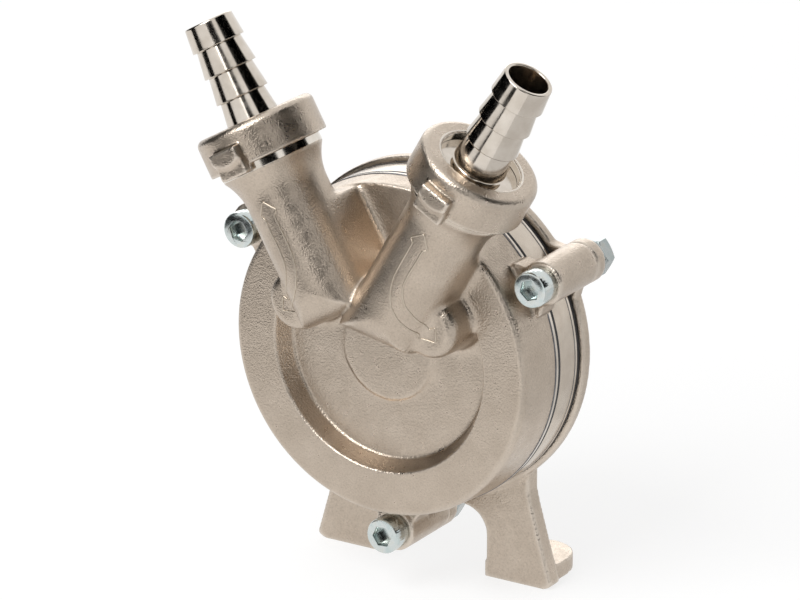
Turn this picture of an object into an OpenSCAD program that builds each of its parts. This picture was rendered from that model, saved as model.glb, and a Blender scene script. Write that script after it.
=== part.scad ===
// Drill-driven transfer pump: cast front and rear covers clamp a machined ring around a
// star impeller; two hose connections stand in a V on the front cover and the drive
// shaft leaves at the back. Millimetres. Origin: centre of the two foot holes on the
// underside of the feet, +Y towards the drive shaft, +Z up.

/* [Casing] */
// Height of the pump axis above the underside of the feet
axis_height = 69.9; // [64:0.1:80]
// Radius of the raised front ring at its outer edge
face_r = 45.4; // [44:0.1:48]
// Radius of the front cover and of the middle ring at their joint
casing_r = 46.6; // [45:0.1:48]
// Radius of the rear cover's flange
rear_r = 48.0; // [46:0.1:50]
// Depth of the front cover from the ring face to its joint
cover_depth = 16.6; // [15:0.1:20]
// Width of the middle ring
ring_width = 10.8; // [9:0.1:14]
// Thickness of the rear cover's flange
flange_t = 4.2; // [3.5:0.1:6]
// Rounding of the front cover's outer edge
face_edge = 1.5; // [0.5:0.1:2.5]
// Chamfer at each side of the joints
joint_chamfer = 0.5; // [0.3:0.1:0.9]

/* [Front face] */
// Inner radius of the raised front ring
recess_r = 33.0; // [30:0.1:36]
// Depth of the recess inside the raised ring
recess_depth = 5.6; // [4:0.1:7]
// Run of the recess wall's slope
recess_slope = 2.4; // [1:0.1:4]
// Radius of the round pad in the middle of the recess
pad_r = 13.9; // [10:0.1:16]
// Height of the round pad above the recess floor
pad_height = 0.8; // [0.4:0.1:1.5]
// Depth of the face between the two necks
notch_depth = 7.5; // [6:0.1:9]

/* [Necks] */
// Angle of each neck from the vertical
neck_angle = 29.7; // [26:0.1:33]
// Distance of the necks' axes in front of the ring face
neck_front = 5.7; // [4:0.1:8]
// Outside radius of a neck
neck_r = 11.5; // [10.5:0.1:12.5]
// Half width of a neck where it meets the cover
neck_foot_w = 12.2; // [11.5:0.1:14]
// Distance of the left neck's toe from the crossing of the axes
left_toe = 14.2; // [10:0.1:18]
// Distance of the right neck's toe from the crossing of the axes
right_toe = 9.8; // [6:0.1:12]
// Slant of the right neck's toe
toe_slant = 18; // [0:1:24]
// Rounding of a toe towards the front
toe_round = 10.5; // [6:0.1:11]
// Rounding of a toe's inner corner
toe_corner = 3.0; // [1:0.1:5]
// Radius at the foot of the round boss over a port
lobe_r = 9.0; // [8:0.1:10]
// Distance of that boss's front in front of the ring face
lobe_front = 9.5; // [8.5:0.1:11]
// Rounding of that boss's front edge
lobe_round = 3.0; // [1:0.1:4]
// Distance of the collar from the crossing of the axes
collar_at = 58.8; // [56:0.1:64]
// Radius of the machined collar under a union nut
collar_r = 14.4; // [13.8:0.1:15]
// Height of the machined collar
collar_h = 2.5; // [1.5:0.1:4]
// Length of the flare below the collar
flare_h = 9.0; // [6:0.1:11]
// Radius of the bore in a neck
neck_bore_r = 7.5; // [6:0.1:8.5]
// Outside radius of the thread that carries a union nut
thread_r = 13.1; // [12.6:0.1:13.4]
// Length of that thread
thread_h = 5.2; // [4:0.1:6.5]

/* [Union nuts] */
// Outside radius of a union nut
nut_r = 16.8; // [16:0.1:18]
// Height of a union nut
nut_h = 10.7; // [9.5:0.1:12.5]
// Radius of the hole in the nut's top
nut_hole_r = 11.4; // [10.5:0.1:12]
// Thickness of the nut's top
nut_top_t = 2.4; // [1.8:0.1:3]
// Rounding of the nut's upper edge
nut_round = 2.0; // [1:0.1:2.3]
// Width of a lug on the nut
lug_w = 9.2; // [7:0.1:11]
// Height of a lug
lug_h = 8.0; // [6:0.1:9]
// Radial height of a lug above the nut
lug_out = 2.4; // [1.5:0.1:3.5]
// How far a lug reaches below the nut
lug_below = 2.0; // [1:0.1:3]

/* [Hose tails] */
// Distance of a hose tail's tip from the crossing of the axes
tail_tip = 100.3; // [96:0.1:108]
// Distance between two barbs
barb_pitch = 7.5; // [6.5:0.1:7.8]
// Length of the first barb at the tip
tip_length = 6.9; // [5:0.1:8]
// Radius of a barb's crest
barb_crest_r = 7.45; // [7.2:0.05:8]
// Radius at the foot of a barb
barb_root_r = 6.35; // [6.1:0.05:6.8]
// Radius at the tip
tip_r = 6.8; // [6.4:0.05:7.1]
// Radius of the bore
tail_bore_r = 5.6; // [4.5:0.1:5.8]
// Number of barbs
barbs = 4; // [3:1:4]
// Radius of the flange held by the nut
tail_flange_r = 12.9; // [12.5:0.1:13]
// Thickness of that flange
tail_flange_t = 1.8; // [1.2:0.1:2.2]
// Thickness of the flat gasket under the flange
gasket_t = 1.2; // [0.8:0.1:1.4]

/* [Fasteners] */
// Radius of the circle that the three screws stand on
screw_circle_r = 52.9; // [52.5:0.1:56]
// Radius of a screw's shank
screw_r = 3.0; // [2.5:0.1:3]
// Radius of a screw's head
head_r = 5.0; // [4.5:0.1:5.2]
// Height of a screw's head
head_h = 6.0; // [5:0.1:7]
// Width across flats of the socket in a screw's head
socket_af = 5.0; // [4:0.1:5.5]
// Depth of that socket
socket_depth = 3.0; // [2:0.1:4]
// Depth of the ear's front face behind the ring face
ear_front = 8.0; // [6:0.1:10]
// Radius of an ear's boss
ear_r = 6.1; // [5.8:0.1:6.2]
// Half width of an ear where it meets the casing
ear_foot_w = 7.8; // [7:0.1:12]
// How much narrower than the boss an ear's web is, at each side
ear_waist = 1.0; // [0.5:0.1:2]
// Thickness of a lock washer
washer_t = 1.2; // [0.8:0.1:1.6]
// Outside radius of a lock washer
washer_r = 5.6; // [5:0.1:5.9]
// Width across flats of a hex nut
nut_af = 10.0; // [9:0.1:11]
// Thickness of a hex nut
hex_nut_t = 4.6; // [4:0.1:5.2]
// Length of screw that shows behind the nut
screw_end = 0.8; // [0.5:0.1:2]

/* [Feet] */
// Distance of a leg's inner edge from the middle
leg_in = 17.2; // [15:0.1:19]
// Distance of a leg's outer edge from the middle, at the bottom
leg_out = 38.2; // [34:0.1:40]
// Distance of a leg's outer edge from the middle, at the casing
leg_top_out = 30.5; // [28:0.1:34]
// Thickness of a leg
leg_t = 5.2; // [4:0.1:6.5]
// Thickness of a foot
foot_t = 4.7; // [4:0.1:6]
// Height of the arch between the legs above the underside of the feet
arch_height = 19.8; // [17:0.1:21]
// Rounding between a leg's inner edge and the arch
leg_round = 7.8; // [5:0.1:9]
// Distance between the two foot holes
foot_spacing = 52.0; // [50:0.1:54]
// Radius of a foot hole
foot_hole_r = 3.25; // [2.6:0.05:3.6]
// Distance of the foot holes behind the ring face
foot_hole_back = 42.0; // [40:0.1:46]
// Radius of a foot's round end
foot_end_r = 9.3; // [8:0.1:10]

/* [Rear housing] */
// Radius of the bearing housing at its rear end
housing_r = 18.4; // [17:0.1:21]
// Radius of the housing at the flange
housing_foot_r = 20.4; // [19:0.1:24]
// Rounding between the housing and the flange
housing_round = 5.0; // [2:0.1:7]
// Thickness of the ribs between the housing and the ears
rib_t = 5.0; // [3:0.1:7]
// Height of a rib at the housing
rib_h = 12.0; // [6:0.1:16]

/* [Shaft and bearings] */
// Radius of the shaft in the bearings
shaft_r = 5.0; // [4.6:0.1:5.4]
// Radius of the drive end that the drill's chuck grips
drive_r = 4.0; // [3:0.1:4.5]
// Length of the drive end
drive_length = 24.0; // [18:0.1:26]
// Outside radius of a ball bearing
bearing_r = 13.0; // [12:0.1:14]
// Width of a ball bearing
bearing_w = 8.0; // [7:0.1:9]
// Radius of a bearing's balls
ball_r = 2.34; // [2.2:0.01:2.4]
// Balls in a bearing
balls = 7; // [6:1:8]
// Outside radius of the shaft seal
seal_r = 11.0; // [10:0.1:11]
// Width of the shaft seal
seal_w = 7.0; // [6:0.1:8]
// Radial clearance between the shaft and the seal's lip
lip_clearance = 0.04; // [0.02:0.01:0.08]
// Radial clearance of the shaft in the rear cover's wall
wall_clearance = 0.6; // [0.3:0.1:1]
// Thickness of a circlip
circlip_t = 1.0; // [0.8:0.1:1.2]

/* [Impeller] */
// Radius of the pump chamber
chamber_r = 34.5; // [33:0.1:35.5]
// Running clearance round the impeller's tips
tip_clearance = 0.4; // [0.2:0.1:1]
// Running clearance at each side of the impeller
side_clearance = 0.3; // [0.15:0.05:0.5]
// Number of blades
blades = 10; // [7:1:12]
// Thickness of a blade at its tip
blade_tip_t = 2.6; // [2:0.1:4]
// Thickness of a blade at its root
blade_root_t = 3.8; // [3:0.1:5]
// Radius of the impeller's hub
hub_r = 11.0; // [9.5:0.1:13]
// Mean radius of the side channel and of the ports
channel_r = 25.2; // [24:0.1:27]
// Radius of a port
port_r = 4.2; // [3:0.1:4.5]
// Angle between a neck's axis and its port, seen from the pump axis
port_turn = 26.6; // [24:0.1:30]
// Half width of the side channel
channel_w = 4.6; // [3.5:0.1:5.5]
// Depth of the side channel in the front cover
front_channel_depth = 4.6; // [2:0.1:4.6]
// Depth of the side channel in the rear cover
rear_channel_depth = 2.4; // [1.5:0.1:3]
// Angle between each port and the start of the side channel
channel_start = 6; // [0:1:20]

/* [Hidden] */
$fn = 64;

LEFT = -1;
RIGHT = 1;
EAR_ANGLES = [30, 150, 270];
SKIN = 0.01;
STEP = 0.05;
cast_color = [0.72, 0.67, 0.60];
bright_color = [0.80, 0.78, 0.74];
zinc_color = [0.70, 0.74, 0.73];
rubber_color = [0.12, 0.12, 0.12];

// Stations along the pump axis, counted from the ring face
joint_1 = cover_depth;
joint_2 = joint_1 + ring_width;
flange_back = joint_2 + flange_t;
seal_wall = 2.2;
seal_front = joint_2 + seal_wall;
seal_back = seal_front + seal_w;
bearing_gap = 1.4;
bearing_front = seal_back + bearing_gap;
bearing_back = bearing_front + 2 * bearing_w;
housing_circlip_t = 1.2;
housing_lip = 1.2;
housing_back = bearing_back + housing_circlip_t + housing_lip;
dust_gap = 0.3;
dust_w = 3.0;
drive_start = housing_back + dust_gap + dust_w;
shaft_back = drive_start + drive_length;
impeller_front = joint_1 + side_clearance;
impeller_back = joint_2 - side_clearance;
circlip_gap = 0.1;
shaft_front = impeller_front - circlip_gap - circlip_t - 1.6;
nose_r = 8.6;
nose_back = shaft_front - 0.8;

// Sections of the rings
o_ring_r = 0.9;
o_ring_mean_r = (chamber_r + casing_r) / 2 - 1.5;
o_groove_w = 2 * o_ring_r + 0.5;
o_groove_depth = 2 * o_ring_r + 0.05;
impeller_r = chamber_r - tip_clearance;
key_w = 3.0;
key_length = ring_width - 2 * side_clearance - 1;
key_out = 1.2;
key_in = 1.8;

// Ball bearings
race_mean_r = (shaft_r + bearing_r) / 2;
race_r = ball_r + 0.08;
inner_race_r = race_mean_r - 1.75;
outer_race_r = race_mean_r + 1.95;
cage_t = 0.9;
cage_w = 2 * ball_r + 1.2;

// Circlip sections
circlip_groove_r = shaft_r - 0.3;
circlip_out_r = shaft_r + 1.9;
circlip_eye_turn = 26;
housing_eye_turn = 15;
housing_groove_r = bearing_r + 0.6;
housing_circlip_in_r = bearing_r - 2.2;

// Shaft seal's shell and its spring
shell = 0.9;
garter_r = 0.6;
garter_mean_r = shaft_r + lip_clearance + 3;
garter_station = 2;

// Stations along a neck, counted from the crossing of the axes
nut_at = collar_at + collar_h;
thread_top = nut_at + thread_h;
gasket_top = thread_top + gasket_t;
tail_flange_top = gasket_top + tail_flange_t;
nut_top = nut_at + nut_h;
nut_cavity_top = nut_top - nut_top_t;
nut_thread_clearance = 0.08;
lug_clearance = 0.35;

// Passage from a neck's bore through the boss to the port
port_angle = neck_angle + port_turn;
port_along = channel_r * cos(port_turn);
port_across = channel_r * sin(port_turn);
bore_start = port_along - 2.5;
passage_r = port_r - 0.4;
port_wall = 2;
port_end = lobe_front - port_wall;
passage_front = port_end - passage_r - 0.5;

// Clearances of the fasteners and of the bosses beside the middle ring
hole_clearance = 0.25;
head_clearance = 0.4;
ring_clearance = 0.15;
spot_clearance = 0.6;

// Places the children in the pump's own frame: axis along Y, ring face at zero
module in_pump() translate([0, -foot_hole_back, axis_height]) children();

// Turns the children from Z to Y and starts them at a station
module along_y(station) translate([0, station, 0]) rotate([-90, 0, 0]) children();

// Puts the children on a neck's axis, with Z running towards its hose
module on_neck(side) translate([0, -neck_front, 0]) rotate([0, side * neck_angle, 0]) children();

// Puts the children at each ear, X pointing away from the pump axis
module at_ears() for (a = EAR_ANGLES) rotate([0, -a, 0]) children();

// A plain ring round Z
module ring(outer, inner, h) {
    difference() {
        cylinder(r = outer, h = h);
        translate([0, 0, -1]) cylinder(r = inner, h = h + 2);
    }
}

// What a square corner loses when it is rounded; the corner is at the origin
module corner_cut(r) {
    difference() {
        translate([-1, -1]) square([r + 1, r + 1]);
        translate([r, r]) circle(r);
    }
}

// Outline of the front cover: radius across, station up
module cover_profile() {
    difference() {
        polygon([
            [0, 0], [face_r, 0], [casing_r, joint_1 - joint_chamfer],
            [casing_r - joint_chamfer, joint_1], [0, joint_1]
        ]);
        translate([face_r + 0.05, 0]) mirror([1, 0]) corner_cut(face_edge);
        polygon([
            [-1, -1], [recess_r + recess_slope / recess_depth, -1],
            [recess_r - recess_slope, recess_depth], [-1, recess_depth]
        ]);
    }
}

// Body of revolution of the front cover, with its pad
module cover_disc() {
    along_y(0) rotate_extrude($fn = 128) cover_profile();
    along_y(recess_depth - pad_height) cylinder(r = pad_r, h = pad_height + 1);
}

// Wedge between the necks where the raised ring is left out
module notch_cut() {
    inset = neck_r / 2;
    apex = inset / sin(neck_angle);
    reach = 2 * casing_r;
    rotate([90, 0, 0]) translate([0, 0, -notch_depth]) linear_extrude(notch_depth + 1)
        polygon([
            [0, apex],
            [reach * sin(neck_angle), apex + reach * cos(neck_angle)],
            [-reach * sin(neck_angle), apex + reach * cos(neck_angle)]
        ]);
}

// Space above a toe's end on the right neck: rounded to the front and at its inner corner
module above_toe(toe, slant) {
    depth = neck_front + notch_depth + 1;
    corner_x = neck_foot_w / cos(slant);
    translate([0, 0, toe]) rotate([0, -slant, 0]) difference() {
        rotate([90, 0, 90]) linear_extrude(6 * neck_r, center = true) difference() {
            translate([-neck_r, 0]) square([neck_r + depth, 2 * collar_at]);
            translate([-neck_r, 0]) corner_cut(toe_round);
        }
        rotate([90, 0, 0]) linear_extrude(6 * neck_r, center = true)
            translate([-corner_x, 0]) corner_cut(toe_corner);
    }
}

// Round tube of a neck above its drafted foot; the left one is the right one mirrored
module neck_body(side, toe, slant) {
    foot = neck_front + notch_depth + 1;
    start = toe - 2 * neck_r * tan(slant) - 1;
    mirror([side < 0 ? 1 : 0, 0, 0]) {
        on_neck(RIGHT) intersection() {
            translate([0, 0, start]) cylinder(r = neck_r, h = collar_at - start, $fn = 96);
            above_toe(toe, slant);
        }
        intersection() {
            on_neck(RIGHT) intersection() {
                translate([0, 0, start]) linear_extrude(collar_at - start) polygon([
                    [-neck_r, 0], [neck_r, 0], [neck_foot_w, foot], [-neck_foot_w, foot]
                ]);
                above_toe(toe, slant);
            }
            along_y(-neck_front - 1) cylinder(r = face_r, h = foot + 2, $fn = 128);
        }
    }
}

// Puts the children on a port's axis
module at_port(side)
    translate([side * channel_r * sin(port_angle), 0, channel_r * cos(port_angle)]) children();

// Round boss with a drafted flank over a port
module lobe() {
    depth = lobe_front + recess_depth + 1;
    draft = 3;
    top_r = lobe_r - depth * tan(draft);
    along_y(-lobe_front) rotate_extrude($fn = 96) difference() {
        polygon([[0, 0], [top_r, 0], [lobe_r, depth], [0, depth]]);
        translate([top_r + 2 * STEP, 0]) mirror([1, 0]) corner_cut(lobe_round);
    }
}

// Flare, collar and threaded end of a neck
module neck_head(side) {
    rise = collar_r - neck_r;
    arc_r = (flare_h * flare_h + rise * rise) / (2 * rise);
    on_neck(side) {
        rotate_extrude($fn = 96) difference() {
            translate([0, collar_at - flare_h]) square([collar_r, flare_h]);
            translate([neck_r + arc_r, collar_at - flare_h]) circle(arc_r, $fn = 180);
        }
        translate([0, 0, collar_at]) cylinder(r = collar_r, h = collar_h, $fn = 96);
        translate([0, 0, nut_at]) cylinder(r = thread_r, h = thread_h, $fn = 96);
    }
}

// Bore of a neck, the port into the chamber and the passage between them
module neck_passage(side) {
    on_neck(side) {
        translate([0, 0, bore_start]) cylinder(r = neck_bore_r, h = thread_top);
        translate([0, neck_front - passage_front, port_along]) rotate([0, side * 90, 0])
            cylinder(r = passage_r, h = port_across);
    }
    at_port(side) along_y(-port_end) cylinder(r = port_r, h = port_end + joint_1 + 1);
}

// Side channel, open towards the impeller; it runs the long way round between the ports
module side_channel(centre) {
    start = 90 + port_angle + channel_start;
    along_y(centre) rotate([0, 0, -start]) mirror([0, 1, 0])
        rotate_extrude(angle = 360 - 2 * (port_angle + channel_start), $fn = 128)
            translate([channel_r, 0]) circle(channel_w);
}

// Outline of an ear's web with hollow flanks, X away from the pump axis
module web_outline(start_r) {
    waist = ear_r - ear_waist;
    flank = (screw_circle_r - start_r) / 2 + 4;
    root = 8;
    difference() {
        translate([start_r - root, -ear_foot_w]) square([screw_circle_r - start_r + root, 2 * ear_foot_w]);
        for (s = [-1, 1]) translate([screw_circle_r, s * (waist + flank)]) circle(flank);
    }
}

// Web of an ear from one station to another
module ear_web(start_r, from, to) {
    translate([0, from, 0]) rotate([-90, 0, 0]) linear_extrude(to - from) web_outline(start_r);
}

// Cylinder on an ear's screw axis from one station to another
module at_screw(r, from, to) {
    translate([screw_circle_r, from, 0]) rotate([-90, 0, 0]) cylinder(r = r, h = to - from);
}

module front_cover() {
    color(cast_color) in_pump() difference() {
        union() {
            difference() {
                union() {
                    difference() {
                        cover_disc();
                        at_ears() at_screw(head_r + head_clearance, -1, ear_front + 0.5);
                    }
                    difference() {
                        at_ears() at_screw(ear_r, ear_front, joint_2);
                        along_y(joint_1 - 1)
                            cylinder(r = casing_r + ring_clearance, h = ring_width + 2, $fn = 128);
                    }
                    at_ears() ear_web(casing_r, ear_front + 1, joint_1);
                }
                notch_cut();
            }
            neck_body(LEFT, left_toe, 0);
            neck_body(RIGHT, right_toe, toe_slant);
            neck_head(LEFT);
            neck_head(RIGHT);
            for (side = [LEFT, RIGHT]) at_port(side) lobe();
        }
        neck_passage(LEFT);
        neck_passage(RIGHT);
        side_channel(joint_1 + channel_w - front_channel_depth);
        along_y(nose_back) cylinder(r = nose_r, h = joint_1);
        at_ears() at_screw(screw_r + hole_clearance, 0, joint_2 + 1);
    }
}

module middle_ring() {
    color(bright_color) in_pump() difference() {
        along_y(joint_1) rotate_extrude($fn = 128) difference() {
            polygon([
                [chamber_r, 0], [casing_r - joint_chamfer, 0], [casing_r, joint_chamfer],
                [casing_r, ring_width - joint_chamfer], [casing_r - joint_chamfer, ring_width],
                [chamber_r, ring_width]
            ]);
            for (y = [-1, ring_width - o_groove_depth])
                translate([o_ring_mean_r - o_groove_w / 2, y]) square([o_groove_w, o_groove_depth + 1]);
        }
        at_ears() at_screw(screw_r + hole_clearance, joint_1 - 1, joint_2 + 1);
    }
}

// Half section of the rear cover's flange and bearing housing
module housing_profile() {
    difference() {
        polygon([
            [0, joint_2], [rear_r - joint_chamfer, joint_2], [rear_r, joint_2 + joint_chamfer],
            [rear_r, flange_back - 1], [rear_r - 1, flange_back],
            [housing_foot_r + housing_round, flange_back],
            [housing_foot_r, flange_back + housing_round],
            [housing_r, housing_back - 1], [housing_r - 1, housing_back], [0, housing_back]
        ]);
        translate([housing_foot_r + housing_round, flange_back + housing_round])
            circle(housing_round);
    }
}

// Bores of the rear cover: shaft hole, seal seat, bearing seat and circlip groove
module housing_bores() {
    along_y(joint_2 - 1) cylinder(r = shaft_r + wall_clearance, h = seal_wall + 2);
    along_y(seal_front) cylinder(r = seal_r, h = seal_w + bearing_gap);
    along_y(bearing_front) cylinder(r = bearing_r, h = housing_back);
    along_y(bearing_back) cylinder(r = housing_groove_r, h = housing_circlip_t);
}

// Front view of a leg on the +X side, with its half of the arch; pump axis at the origin
module leg_outline() {
    foot_z = -axis_height;
    arch_z = arch_height - axis_height;
    top_z = -sqrt(rear_r * rear_r - leg_top_out * leg_top_out);
    straight = 5.3;
    bend_h = 4;
    bend_out = 0.9;
    corner = 3.5;
    difference() {
        polygon([
            [-1, arch_z], [leg_in, arch_z], [leg_in, foot_z], [leg_out, foot_z],
            [leg_top_out + bend_out, top_z - straight - bend_h], [leg_top_out, top_z - straight],
            [leg_top_out, top_z + 1], [-1, -rear_r / 2]
        ]);
        translate([leg_out + 0.1, foot_z]) mirror([1, 0]) corner_cut(corner);
    }
    translate([leg_in, arch_z]) rotate(180) corner_fill(leg_round);
}

// One leg with its foot, on the +X side
module leg() {
    front = joint_2 + 0.8;
    foot_x = foot_spacing / 2;
    foot_z = -axis_height;
    bend = 4;
    spot_r = max(washer_r, nut_af / 2 / cos(30)) + spot_clearance;
    difference() {
        translate([0, front + leg_t, 0]) rotate([90, 0, 0]) linear_extrude(leg_t) leg_outline();
        rotate([0, 90, 0]) at_screw(spot_r, flange_back - STEP, front + leg_t + 1);
    }
    difference() {
        translate([0, 0, foot_z]) linear_extrude(foot_t) {
            translate([foot_x, foot_hole_back]) circle(foot_end_r);
            translate([foot_x - foot_end_r, front]) square([2 * foot_end_r, foot_hole_back - front]);
        }
        translate([foot_x, foot_hole_back, foot_z - 1]) cylinder(r = foot_hole_r, h = foot_t + 2);
    }
    translate([foot_x - foot_end_r, front + leg_t, foot_z + foot_t]) rotate([90, 0, 90])
        linear_extrude(2 * foot_end_r) corner_fill(bend);
}

// Inside corner filled with a hollow round
module corner_fill(r) {
    difference() {
        translate([-SKIN, -SKIN]) square(r + SKIN);
        translate([r, r]) circle(r);
    }
}

// Rib between the housing and an ear
module rib() {
    translate([0, 0, -rib_t / 2]) linear_extrude(rib_t) polygon([
        [housing_r - 3, flange_back - 1], [screw_circle_r - ear_r - 1, flange_back - 1],
        [screw_circle_r - ear_r - 1, flange_back], [housing_r - 3, flange_back + rib_h]
    ]);
}

module rear_cover() {
    color(cast_color) in_pump() difference() {
        union() {
            along_y(0) rotate_extrude($fn = 128) housing_profile();
            at_ears() at_screw(ear_r, joint_2, flange_back);
            at_ears() ear_web(rear_r, joint_2, flange_back - 0.4);
            at_ears() rib();
            for (s = [0, 1]) mirror([s, 0, 0]) leg();
        }
        housing_bores();
        side_channel(joint_2 - channel_w + rear_channel_depth);
        at_ears() at_screw(screw_r + hole_clearance, joint_2 - 1, flange_back + 1);
    }
}

module o_ring(station) {
    color(rubber_color) in_pump() along_y(station) rotate_extrude($fn = 96)
        translate([o_ring_mean_r, 0]) circle(o_ring_r, $fn = 24);
}
module front_o_ring() o_ring(joint_1 + o_ring_r + 0.02);
module rear_o_ring() o_ring(joint_2 - o_ring_r - 0.02);

// Star impeller: straight tapered blades on a hub, with rounded roots between them
module impeller() {
    h = impeller_back - impeller_front;
    root_r = hub_r + 3;
    pocket = root_r * sin(180 / blades) - blade_root_t / 2;
    color([0.74, 0.60, 0.36]) in_pump() along_y(impeller_front) difference() {
        linear_extrude(h) difference() {
            union() {
                circle(root_r, $fn = 96);
                intersection() {
                    circle(impeller_r, $fn = 128);
                    for (i = [0 : blades - 1]) rotate(i * 360 / blades) polygon([
                        [0, -blade_root_t / 2], [root_r, -blade_root_t / 2],
                        [impeller_r + 1, -blade_tip_t / 2], [impeller_r + 1, blade_tip_t / 2],
                        [root_r, blade_root_t / 2], [0, blade_root_t / 2]
                    ]);
                }
            }
            for (i = [0 : blades - 1]) rotate((i + 0.5) * 360 / blades)
                translate([root_r, 0]) circle(pocket);
            circle(shaft_r);
            translate([0, -key_w / 2]) square([shaft_r + key_out, key_w]);
        }
        for (i = [0 : blades - 1]) rotate((i + 0.5) * 360 / blades)
            translate([hub_r - 2.6, 0, -1]) cylinder(r = 1, h = h + 2);
    }
}

module impeller_key() {
    color("silver") in_pump() along_y(impeller_front + 0.5)
        translate([shaft_r - key_in, -key_w / 2, 0]) cube([key_in + key_out, key_w, key_length]);
}

module drive_shaft() {
    chamfer = 0.8;
    color(bright_color) in_pump() difference() {
        along_y(0) rotate_extrude() difference() {
            polygon([
                [0, shaft_front], [shaft_r - chamfer, shaft_front], [shaft_r, shaft_front + chamfer],
                [shaft_r, drive_start - chamfer], [shaft_r - chamfer, drive_start],
                [drive_r, drive_start], [drive_r, shaft_back - chamfer],
                [drive_r - chamfer, shaft_back], [0, shaft_back]
            ]);
            for (y = shaft_circlip_stations()) translate([circlip_groove_r, y]) square([1, circlip_t]);
        }
        along_y(impeller_front + 0.5) translate([shaft_r - key_in, -key_w / 2, 0])
            cube([key_in + key_out, key_w, key_length]);
    }
}

// Where the shaft's three circlips sit
function shaft_circlip_stations() = [
    impeller_front - circlip_gap - circlip_t,
    bearing_front - circlip_t,
    bearing_back
];

// Circlip for a shaft: an open ring with two eyes
module outer_circlip() {
    mouth = 3.2;
    eye_r = 1.3;
    eye_at = circlip_groove_r + eye_r + 0.1;
    linear_extrude(circlip_t) difference() {
        union() {
            translate([-0.35, 0]) circle(circlip_out_r);
            for (s = [-1, 1]) rotate(s * circlip_eye_turn) translate([eye_at, 0]) circle(eye_r, $fn = 32);
        }
        circle(circlip_groove_r);
        translate([0, -mouth / 2]) square([2 * shaft_r, mouth]);
        for (s = [-1, 1]) rotate(s * circlip_eye_turn) translate([eye_at, 0]) circle(0.55, $fn = 24);
    }
}

// Circlip for a bore: an open ring with two eyes that point inwards
module inner_circlip() {
    mouth = 4;
    eye_r = 1.5;
    eye_at = housing_circlip_in_r - 0.3;
    linear_extrude(housing_circlip_t) difference() {
        union() {
            difference() {
                circle(housing_groove_r - 0.02);
                translate([0.4, 0]) circle(housing_circlip_in_r);
            }
            for (s = [-1, 1]) rotate(s * housing_eye_turn) translate([eye_at, 0]) circle(eye_r, $fn = 32);
        }
        translate([0, -mouth / 2]) square([2 * bearing_r, mouth]);
        for (s = [-1, 1]) rotate(s * housing_eye_turn) translate([eye_at, 0]) circle(0.7, $fn = 24);
    }
}

module impeller_circlip() {
    color("dimgray") in_pump() along_y(shaft_circlip_stations()[0]) rotate(40) outer_circlip();
}
module shaft_circlips() {
    for (i = [1, 2]) color("dimgray") in_pump()
        along_y(shaft_circlip_stations()[i]) rotate(90) outer_circlip();
}
module housing_circlip() {
    color("dimgray") in_pump() along_y(bearing_back) rotate(-90) inner_circlip();
}

// Pressed steel case of the shaft seal
module seal_case() {
    color("silver") in_pump() along_y(seal_front) rotate_extrude() polygon([
        [seal_r - 3, seal_w], [seal_r, seal_w], [seal_r, 0.4], [seal_r - 0.4, 0],
        [seal_r - shell, 0], [seal_r - shell, seal_w - shell], [seal_r - 3, seal_w - shell]
    ]);
}

// Rubber lip bonded into the case, with the groove for its spring
module seal_lip() {
    lip_r = shaft_r + lip_clearance;
    color(rubber_color) in_pump() along_y(seal_front) rotate_extrude() difference() {
        polygon([
            [seal_r - shell, seal_w - shell], [lip_r + 1.2, seal_w - shell], [lip_r + 1.2, seal_w - 2],
            [lip_r, 2.2], [lip_r + 1, 0.6], [lip_r + 3, 0.6], [lip_r + 3, seal_w - 3.4],
            [seal_r - shell, seal_w - 3.4]
        ]);
        translate([garter_mean_r, garter_station]) circle(garter_r + 0.05, $fn = 32);
    }
}

module garter_spring() {
    color("silver") in_pump() along_y(seal_front) rotate_extrude()
        translate([garter_mean_r, garter_station]) circle(garter_r, $fn = 24);
}

// Puts the children in the middle of each bearing
module at_bearings() {
    for (i = [0.5, 1.5]) in_pump() along_y(bearing_front + i * bearing_w) children();
}

module bearing_outer_rings() {
    color("silver") at_bearings() rotate_extrude() difference() {
        translate([outer_race_r, -bearing_w / 2]) square([bearing_r - outer_race_r, bearing_w]);
        translate([race_mean_r, 0]) circle(race_r);
    }
}

module bearing_inner_rings() {
    color("silver") at_bearings() rotate_extrude() difference() {
        translate([shaft_r, -bearing_w / 2]) square([inner_race_r - shaft_r, bearing_w]);
        translate([race_mean_r, 0]) circle(race_r);
    }
}

module bearing_balls() {
    color("gainsboro") at_bearings() for (i = [0 : balls - 1]) rotate(i * 360 / balls)
        translate([race_mean_r, 0, 0]) sphere(ball_r, $fn = 32);
}

module bearing_cages() {
    color("tan") at_bearings() difference() {
        translate([0, 0, -cage_w / 2]) ring(race_mean_r + cage_t / 2, race_mean_r - cage_t / 2, cage_w);
        for (i = [0 : balls - 1]) rotate(i * 360 / balls) translate([race_mean_r - 2 * cage_t, 0, 0])
            rotate([0, 90, 0]) cylinder(r = ball_r + 0.06, h = 4 * cage_t);
    }
}

// Rubber ring on the shaft that throws off drips and dust
module dust_ring() {
    step = 0.9;
    color(rubber_color) in_pump() along_y(housing_back + dust_gap) rotate_extrude() polygon([
        [shaft_r, 0.6], [shaft_r + 1.5, 0.6], [shaft_r + 3.4, 0], [shaft_r + 3.8, 0.3],
        [shaft_r + 2, 1.3], [shaft_r + 2, dust_w - step], [shaft_r, dust_w - step]
    ]);
}

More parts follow.
